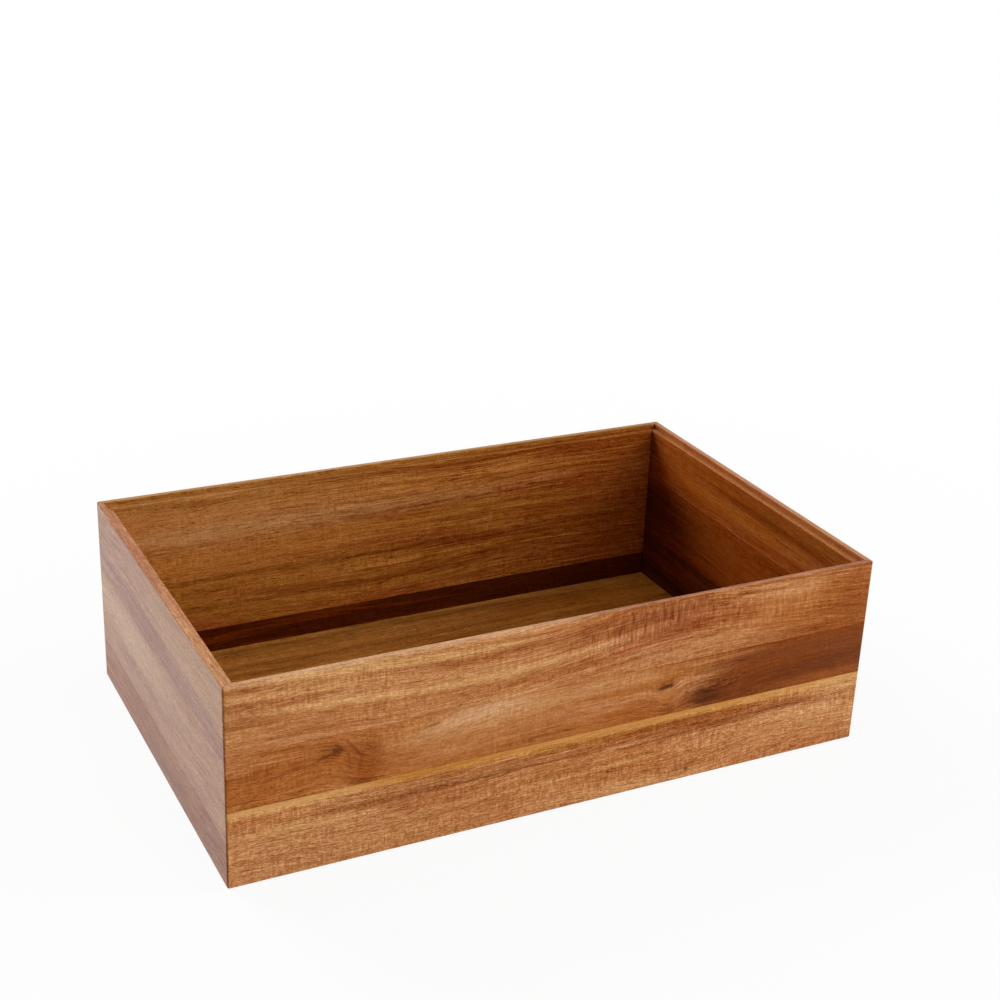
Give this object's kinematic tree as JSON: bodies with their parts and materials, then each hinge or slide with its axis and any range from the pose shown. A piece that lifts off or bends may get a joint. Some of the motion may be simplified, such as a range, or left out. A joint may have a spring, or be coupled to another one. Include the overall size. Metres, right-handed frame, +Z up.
{
  "type": "storage box",
  "caption": "Open-topped rectangular storage box of edge-glued acacia staves, with mitred corners, a stepped inner rim that can seat a lid, and a let-in wooden floor.",
  "frame": {"origin": "middle of the box's footprint, on the surface that it stands on", "axes": "+X along the length, +Y from the front wall to the back wall, +Z up"},
  "size_m": [0.4, 0.25, 0.12],
  "materials": {
    "acacia_golden": "sanded and oiled, satin",
    "acacia_red": "sanded and oiled, satin",
    "acacia_sapwood": "sanded and oiled, satin",
    "acacia_brown": "sanded and oiled, satin",
    "acacia_heartwood": "sanded and oiled, satin",
    "acacia_floor": "sanded and oiled, satin",
    "birch_ply": "plain, unfinished plywood"
  },
  "bodies": {
    "root": {"front_top_stave": "acacia_golden", "left_top_stave": "acacia_golden", "front_middle_stave": "acacia_red", "left_bottom_stave": "acacia_red", "right_middle_stave": "acacia_red", "front_bottom_stave": "acacia_sapwood", "left_middle_stave": "acacia_sapwood", "back_top_stave": "acacia_brown", "back_middle_stave": "acacia_brown", "right_top_stave": "acacia_brown", "back_bottom_stave": "acacia_heartwood", "right_bottom_stave": "acacia_heartwood", "floor_front_stave": "acacia_floor", "floor_inner_front_stave": "acacia_floor", "floor_middle_stave": "acacia_floor", "floor_inner_back_stave": "acacia_floor", "floor_back_stave": "acacia_floor", "front_left_spline": "birch_ply", "front_right_spline": "birch_ply", "back_right_spline": "birch_ply", "back_left_spline": "birch_ply"}
  },
  "joints": []
}
